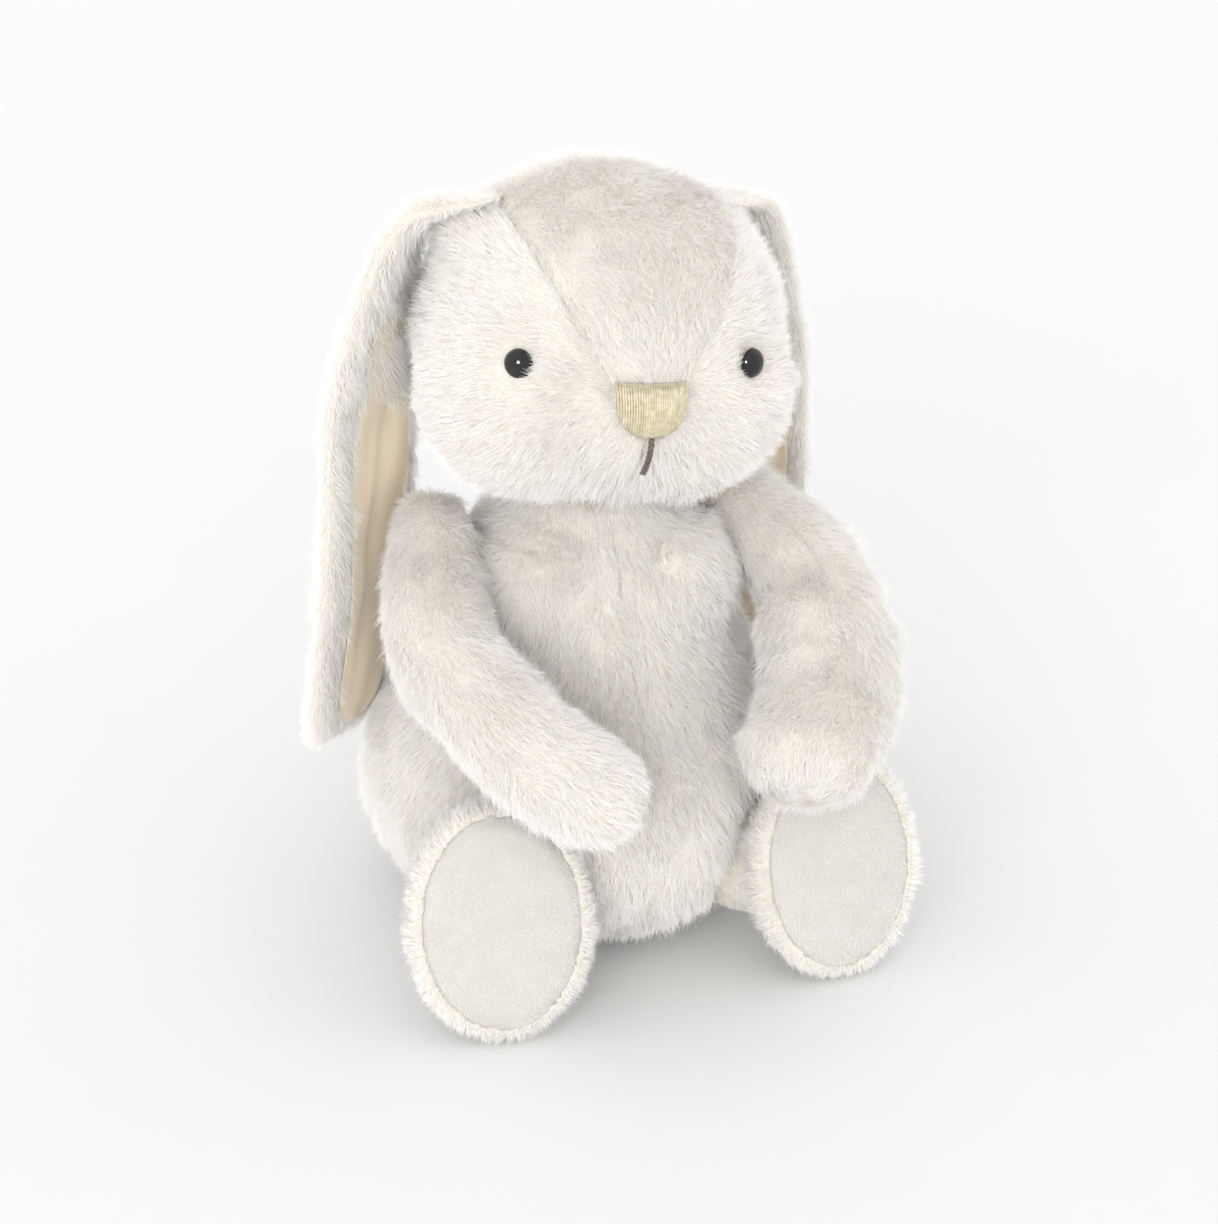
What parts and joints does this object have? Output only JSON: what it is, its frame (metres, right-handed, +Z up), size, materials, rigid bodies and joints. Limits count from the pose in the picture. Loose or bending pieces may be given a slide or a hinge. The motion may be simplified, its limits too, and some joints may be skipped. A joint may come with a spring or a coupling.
{
  "type": "stuffed bunny rabbit",
  "caption": "Seated plush rabbit with long hanging ears, soft arms and legs that flop, smooth soles and a stitched nose.",
  "frame": {"origin": "centre of the flat seat that the rabbit sits on", "axes": "+Z up, the rabbit faces -Y, +X is its own left side"},
  "size_m": [0.229, 0.2399, 0.2952],
  "materials": {
    "fur": "ivory plush fur fabric with a dense pile about 9 mm long",
    "lining_satin": "smooth warm cream satin",
    "sole_velour": "short-napped off-white velour",
    "stuffing": "loose white polyester fibre",
    "pellet_bag": "cotton bag of plastic pellets",
    "eye_plastic": "glossy black dome",
    "washer_plastic": "white moulded plastic",
    "nose_thread": "pale gold satin stitch",
    "mouth_thread": "dark brown-grey thread",
    "patch_cloth": "cream cloth with a small gold stitched heart"
  },
  "bodies": {
    "torso": {"torso_front_left": "fur", "torso_front_right": "fur", "torso_back_left": "fur", "torso_back_right": "fur", "torso_stuffing": "stuffing", "pellet_pouch": "pellet_bag", "chest_patch": "patch_cloth", "tail_cover": "fur", "tail_stuffing": "stuffing"},
    "head": {"forehead_panel": "fur", "cheek_left": "fur", "cheek_right": "fur", "head_back_left": "fur", "head_back_right": "fur", "head_stuffing": "stuffing", "eye_left": "eye_plastic", "eye_right": "eye_plastic", "eye_washer_left": "washer_plastic", "eye_washer_right": "washer_plastic", "nose": "nose_thread", "mouth_stitch": "mouth_thread"},
    "ear_left": {"ear_left_fur": "fur", "ear_left_lining": "lining_satin"},
    "ear_right": {"ear_right_fur": "fur", "ear_right_lining": "lining_satin"},
    "arm_left": {"arm_left_outer": "fur", "arm_left_inner": "fur", "arm_left_stuffing": "stuffing"},
    "arm_right": {"arm_right_outer": "fur", "arm_right_inner": "fur", "arm_right_stuffing": "stuffing"},
    "leg_left": {"leg_left_cover": "fur", "leg_left_sole": "sole_velour", "leg_left_stuffing": "stuffing"},
    "leg_right": {"leg_right_cover": "fur", "leg_right_sole": "sole_velour", "leg_right_stuffing": "stuffing"}
  },
  "joints": [
    {"name": "head_nod", "type": "hinge", "parent": "torso", "child": "head", "pos_m": [0, 0, 0.16], "axis": [1, 0, 0], "range_deg": [-6, 6]},
    {"name": "ear_left_lift", "type": "hinge", "parent": "head", "child": "ear_left", "pos_m": [0.06881, 0.0235, 0.26925], "axis": [0.7555, -0.6546, -0.0259], "range_deg": [0, 75]},
    {"name": "ear_right_lift", "type": "hinge", "parent": "head", "child": "ear_right", "pos_m": [-0.05018, 0.0141, 0.2807], "axis": [0.4776, 0.8728, -0.1007], "range_deg": [0, 75]},
    {"name": "arm_left_raise", "type": "hinge", "parent": "torso", "child": "arm_left", "pos_m": [0.059, -0.002, 0.16], "axis": [-1, 0, 0], "range_deg": [0, 45]},
    {"name": "arm_right_raise", "type": "hinge", "parent": "torso", "child": "arm_right", "pos_m": [-0.059, -0.002, 0.16], "axis": [-1, 0, 0], "range_deg": [0, 45]},
    {"name": "leg_left_spread", "type": "hinge", "parent": "torso", "child": "leg_left", "pos_m": [0.05, -0.056, 0.037], "axis": [0, 0, 1], "range_deg": [0, 12]},
    {"name": "leg_right_spread", "type": "hinge", "parent": "torso", "child": "leg_right", "pos_m": [-0.05, -0.056, 0.037], "axis": [0, 0, -1], "range_deg": [0, 12]}
  ]
}
